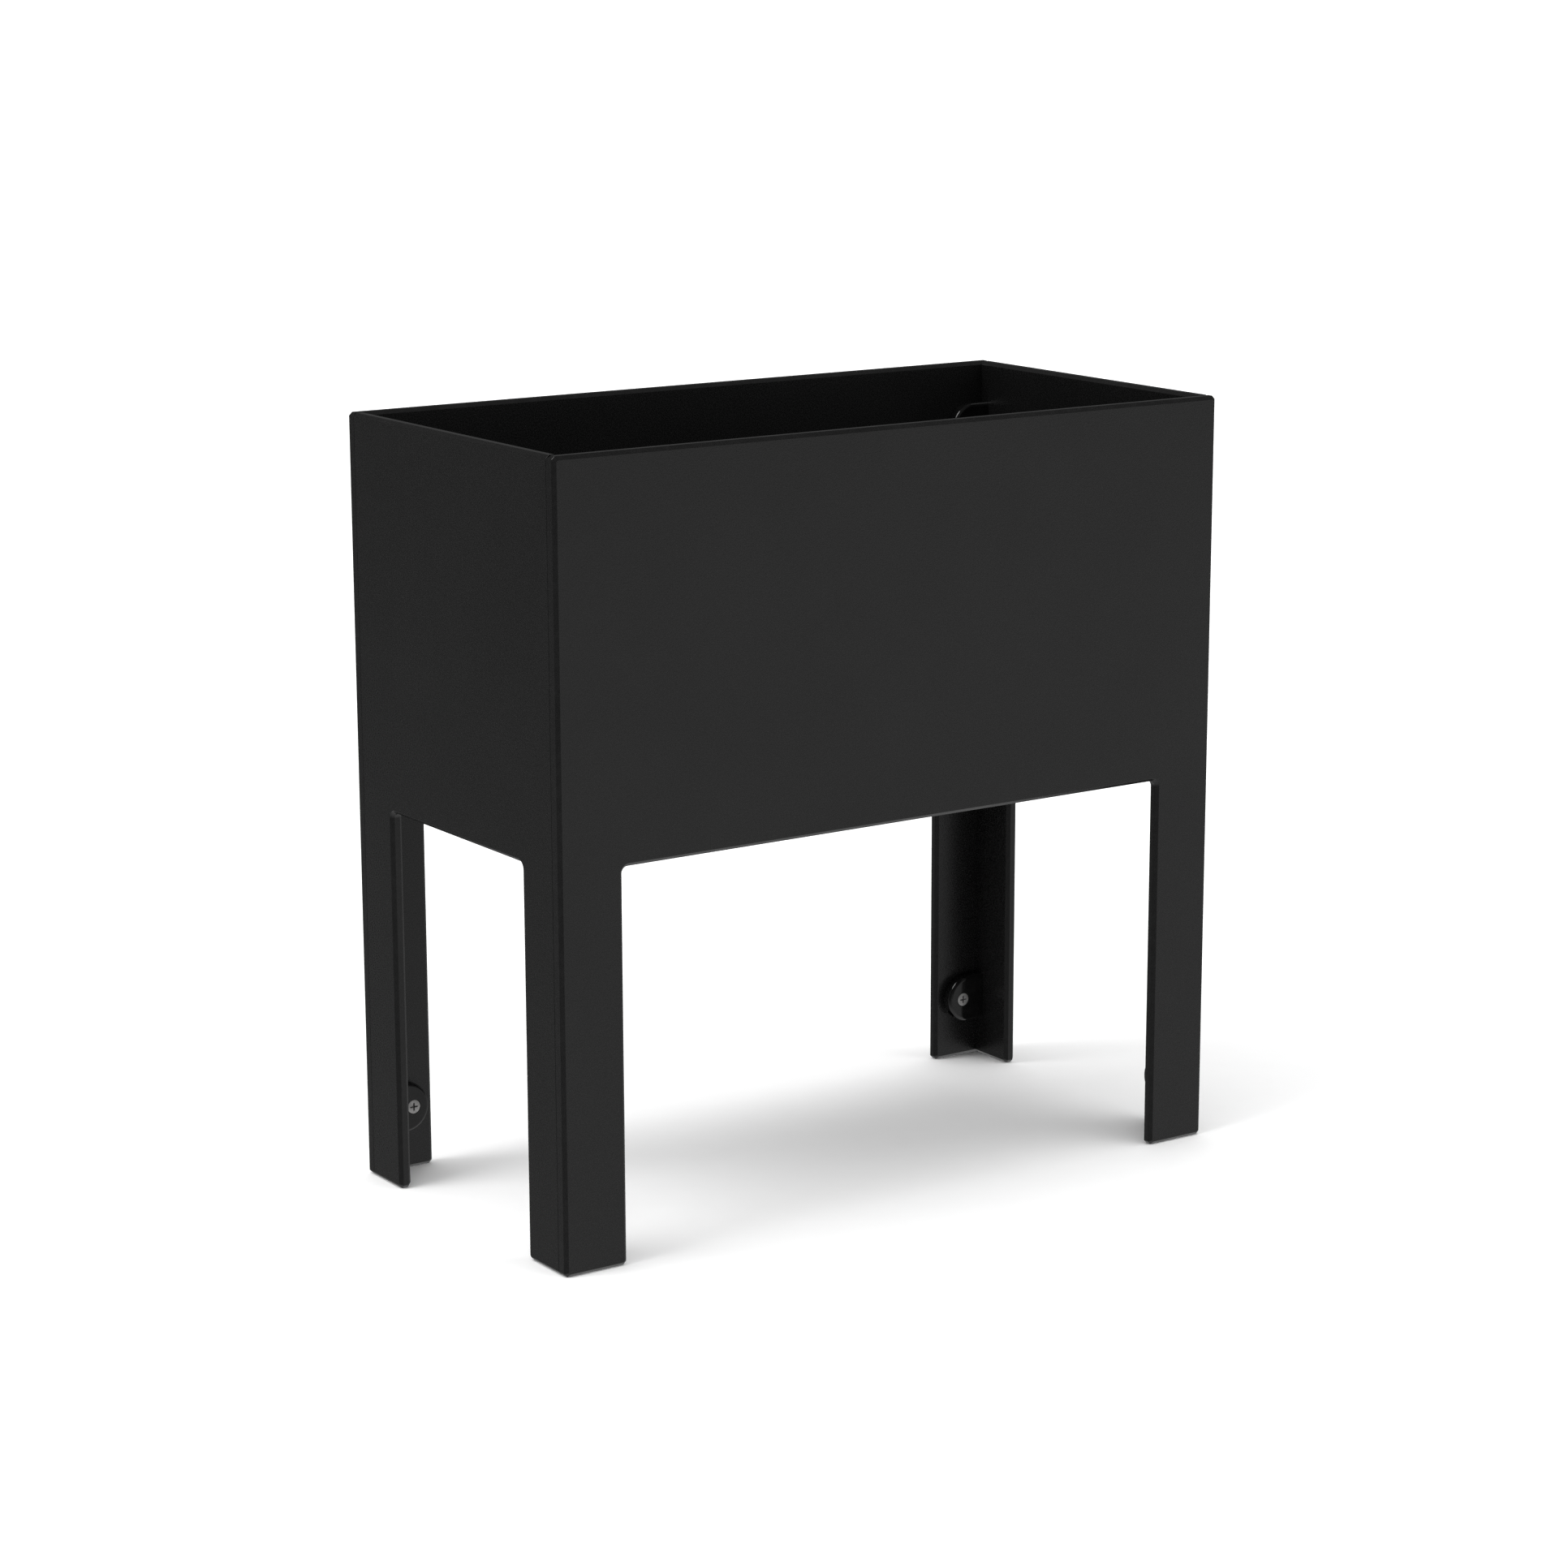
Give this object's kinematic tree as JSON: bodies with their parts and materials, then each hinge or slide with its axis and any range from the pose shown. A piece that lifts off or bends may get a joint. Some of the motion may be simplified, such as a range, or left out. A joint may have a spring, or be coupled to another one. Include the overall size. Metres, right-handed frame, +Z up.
{
  "type": "raised planter on legs",
  "caption": "Tall rectangular planter box of bevelled black plastic panels, whose cut-away lower halves form L-shaped corner legs; hidden corner brackets inside.",
  "frame": {"origin": "on the ground, under the middle of the planter", "axes": "+X along the long walls, to the right seen from the front; +Y from front to back; +Z up"},
  "size_m": [0.762, 0.381, 0.762],
  "materials": {
    "sheet_plastic": "black recycled polyethylene sheet, fine pebbled faces and smooth machined chamfers",
    "bracket_plastic": "black moulded plastic, smooth and glossy",
    "screw_metal": "plain bright steel"
  },
  "bodies": {
    "root": {"front_panel": "sheet_plastic", "back_panel": "sheet_plastic", "left_panel": "sheet_plastic", "right_panel": "sheet_plastic", "floor_panel": "sheet_plastic", "bracket_lower_front_left": "bracket_plastic", "bracket_lower_front_right": "bracket_plastic", "bracket_lower_back_right": "bracket_plastic", "bracket_lower_back_left": "bracket_plastic", "bracket_middle_front_left": "bracket_plastic", "bracket_middle_front_right": "bracket_plastic", "bracket_middle_back_right": "bracket_plastic", "bracket_middle_back_left": "bracket_plastic", "bracket_upper_front_left": "bracket_plastic", "bracket_upper_front_right": "bracket_plastic", "bracket_upper_back_right": "bracket_plastic", "bracket_upper_back_left": "bracket_plastic", "bracket_floor_front_left": "bracket_plastic", "bracket_floor_front_right": "bracket_plastic", "bracket_floor_right": "bracket_plastic", "bracket_floor_back_right": "bracket_plastic", "bracket_floor_back_left": "bracket_plastic", "bracket_floor_left": "bracket_plastic", "screw_lower_front_left_a": "screw_metal", "screw_lower_front_left_b": "screw_metal", "screw_lower_front_right_a": "screw_metal", "screw_lower_front_right_b": "screw_metal", "screw_lower_back_right_a": "screw_metal", "screw_lower_back_right_b": "screw_metal", "screw_lower_back_left_a": "screw_metal", "screw_lower_back_left_b": "screw_metal", "screw_middle_front_left_a": "screw_metal", "screw_middle_front_left_b": "screw_metal", "screw_middle_front_right_a": "screw_metal", "screw_middle_front_right_b": "screw_metal", "screw_middle_back_right_a": "screw_metal", "screw_middle_back_right_b": "screw_metal", "screw_middle_back_left_a": "screw_metal", "screw_middle_back_left_b": "screw_metal", "screw_upper_front_left_a": "screw_metal", "screw_upper_front_left_b": "screw_metal", "screw_upper_front_right_a": "screw_metal", "screw_upper_front_right_b": "screw_metal", "screw_upper_back_right_a": "screw_metal", "screw_upper_back_right_b": "screw_metal", "screw_upper_back_left_a": "screw_metal", "screw_upper_back_left_b": "screw_metal", "screw_floor_front_left_a": "screw_metal", "screw_floor_front_left_b": "screw_metal", "screw_floor_front_right_a": "screw_metal", "screw_floor_front_right_b": "screw_metal", "screw_floor_right_a": "screw_metal", "screw_floor_right_b": "screw_metal", "screw_floor_back_right_a": "screw_metal", "screw_floor_back_right_b": "screw_metal", "screw_floor_back_left_a": "screw_metal", "screw_floor_back_left_b": "screw_metal", "screw_floor_left_a": "screw_metal", "screw_floor_left_b": "screw_metal"}
  },
  "joints": []
}
